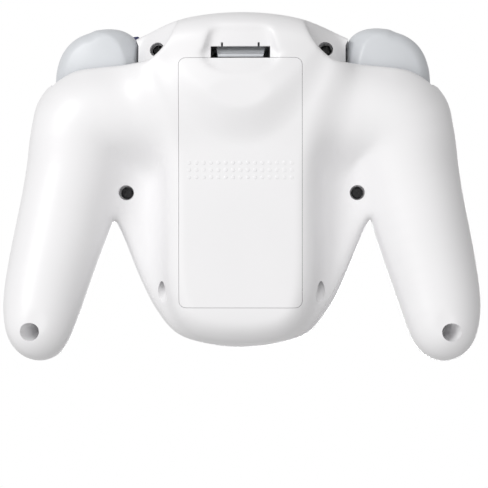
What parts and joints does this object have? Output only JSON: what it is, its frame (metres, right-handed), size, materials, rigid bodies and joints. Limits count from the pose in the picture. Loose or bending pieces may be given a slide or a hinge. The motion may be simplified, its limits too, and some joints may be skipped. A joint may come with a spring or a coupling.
{
  "type": "wireless game controller",
  "caption": "Wireless game controller with a grip at each side, thumb sticks, face buttons, pull triggers and a battery hump under a hinged cover.",
  "frame": {"origin": "middle of the footprint, on the plane that the controller rests on, lying on its back", "axes": "+Z out of the control face, +Y towards the shoulder triggers, +X to the right of the player"},
  "size_m": [0.1396, 0.1022, 0.0555],
  "materials": {
    "shell_white": "fine satin moulded ABS",
    "grey_plastic": "satin moulded ABS",
    "stick_grey": "matt moulded cap",
    "amber_plastic": "satin moulded cap",
    "teal_plastic": "polished cap",
    "red_plastic": "polished cap",
    "navy_plastic": "polished cap",
    "dark_plastic": "matt moulded",
    "screw_black": "black oxide",
    "steel": "stamped, bright",
    "board_green": "solder mask on glass laminate",
    "silicone": "matt silicone",
    "clear_lens": "clear light pipe",
    "cell_sleeve": "printed sleeve, plain"
  },
  "bodies": {
    "housing": {"back_shell": "shell_white", "front_shell": "shell_white", "battery_tray": "shell_white", "main_board": "board_green", "radio_module": "steel", "status_light": "clear_lens", "action_membrane": "silicone", "centre_membrane": "silicone", "d_pad_membrane": "silicone", "main_stick_housing": "dark_plastic", "small_stick_housing": "dark_plastic", "trigger_sensor_left": "dark_plastic", "trigger_sensor_right": "dark_plastic", "shoulder_switch": "dark_plastic", "contact_bridge": "steel", "contact_plate_left": "steel", "contact_plate_right": "steel", "contact_spring_left": "steel", "contact_spring_right": "steel", "battery_cell_left": "cell_sleeve", "battery_cell_right": "cell_sleeve", "trigger_spring_left": "steel", "trigger_spring_right": "steel", "screw_top_left": "screw_black", "screw_top_right": "screw_black", "screw_middle_left": "screw_black", "screw_middle_right": "screw_black", "screw_grip_left": "screw_black", "screw_grip_right": "screw_black", "screw_side_left": "screw_black", "screw_side_right": "screw_black"},
    "cover": {"battery_cover": "shell_white"},
    "latch": {"cover_latch": "grey_plastic"},
    "trigger_left": {"trigger_left": "grey_plastic"},
    "trigger_right": {"trigger_right": "grey_plastic"},
    "shoulder_button": {"shoulder_button": "navy_plastic"},
    "large_round_button": {"large_round_button": "teal_plastic"},
    "small_round_button": {"small_round_button": "red_plastic"},
    "kidney_button_side": {"kidney_button_side": "grey_plastic"},
    "kidney_button_upper": {"kidney_button_upper": "grey_plastic"},
    "start_button": {"start_button": "grey_plastic"},
    "home_button": {"home_button": "dark_plastic"},
    "pad_rocker": {"d_pad_rocker": "dark_plastic"},
    "d_pad": {"d_pad": "grey_plastic"},
    "main_stick_gimbal": {"main_stick_gimbal": "steel"},
    "main_stick": {"main_stick": "stick_grey"},
    "small_stick_gimbal": {"small_stick_gimbal": "steel"},
    "small_stick": {"small_stick": "amber_plastic"}
  },
  "joints": [
    {"name": "trigger_left_pull", "type": "slide", "parent": "housing", "child": "trigger_left", "axis": [0, -1, 0], "range_m": [0, 0.007], "stiffness_N_per_m": 220, "springref_m": -0.003, "deforming": ["trigger_spring_left"]},
    {"name": "trigger_right_pull", "type": "slide", "parent": "housing", "child": "trigger_right", "axis": [0, -1, 0], "range_m": [0, 0.007], "stiffness_N_per_m": 220, "springref_m": -0.003, "deforming": ["trigger_spring_right"]},
    {"name": "shoulder_button_press", "type": "slide", "parent": "housing", "child": "shoulder_button", "axis": [0, -1, 0], "range_m": [0, 0.0011], "stiffness_N_per_m": 900, "springref_m": -0.0006},
    {"name": "large_round_button_press", "type": "slide", "parent": "housing", "child": "large_round_button", "axis": [0, 0, -1], "range_m": [0, 0.0014], "stiffness_N_per_m": 700, "springref_m": -0.0006},
    {"name": "small_round_button_press", "type": "slide", "parent": "housing", "child": "small_round_button", "axis": [0, 0, -1], "range_m": [0, 0.0014], "stiffness_N_per_m": 600, "springref_m": -0.0006},
    {"name": "kidney_button_side_press", "type": "slide", "parent": "housing", "child": "kidney_button_side", "axis": [0, 0, -1], "range_m": [0, 0.0014], "stiffness_N_per_m": 700, "springref_m": -0.0006},
    {"name": "kidney_button_upper_press", "type": "slide", "parent": "housing", "child": "kidney_button_upper", "axis": [0, 0, -1], "range_m": [0, 0.0014], "stiffness_N_per_m": 700, "springref_m": -0.0006},
    {"name": "start_button_press", "type": "slide", "parent": "housing", "child": "start_button", "axis": [0, 0, -1], "range_m": [0, 0.0012], "stiffness_N_per_m": 600, "springref_m": -0.0006},
    {"name": "home_button_press", "type": "slide", "parent": "housing", "child": "home_button", "axis": [0, 0, -1], "range_m": [0, 0.001], "stiffness_N_per_m": 600, "springref_m": -0.0006},
    {"name": "cover_open", "type": "hinge", "parent": "housing", "child": "cover", "pos_m": [0, -0.0355, 0.0035], "axis": [-1, 0, 0], "range_deg": [0, 55]},
    {"name": "latch_flex", "type": "hinge", "parent": "cover", "child": "latch", "pos_m": [0, 0.0379, 0.0116], "axis": [-1, 0, 0], "range_deg": [0, 7], "stiffness_Nm_per_rad": 0.6},
    {"name": "d_pad_rock_up_down", "type": "hinge", "parent": "housing", "child": "pad_rocker", "pos_m": [-0.0186, -0.0172, 0.0315], "axis": [1, 0, 0], "range_deg": [-4.5, 4.5], "stiffness_Nm_per_rad": 0.16},
    {"name": "d_pad_rock_left_right", "type": "hinge", "parent": "pad_rocker", "child": "d_pad", "pos_m": [-0.0186, -0.0172, 0.0329], "axis": [0, 1, 0], "range_deg": [-4.5, 4.5], "stiffness_Nm_per_rad": 0.16},
    {"name": "main_stick_up_down", "type": "hinge", "parent": "housing", "child": "main_stick_gimbal", "pos_m": [-0.043, 0.017, 0.0285], "axis": [1, 0, 0], "range_deg": [-18, 18], "stiffness_Nm_per_rad": 0.05},
    {"name": "main_stick_left_right", "type": "hinge", "parent": "main_stick_gimbal", "child": "main_stick", "pos_m": [-0.043, 0.017, 0.0285], "axis": [0, 1, 0], "range_deg": [-18, 18], "stiffness_Nm_per_rad": 0.05},
    {"name": "small_stick_up_down", "type": "hinge", "parent": "housing", "child": "small_stick_gimbal", "pos_m": [0.0186, -0.0172, 0.0285], "axis": [1, 0, 0], "range_deg": [-18, 18], "stiffness_Nm_per_rad": 0.05},
    {"name": "small_stick_left_right", "type": "hinge", "parent": "small_stick_gimbal", "child": "small_stick", "pos_m": [0.0186, -0.0172, 0.0285], "axis": [0, 1, 0], "range_deg": [-18, 18], "stiffness_Nm_per_rad": 0.05}
  ]
}
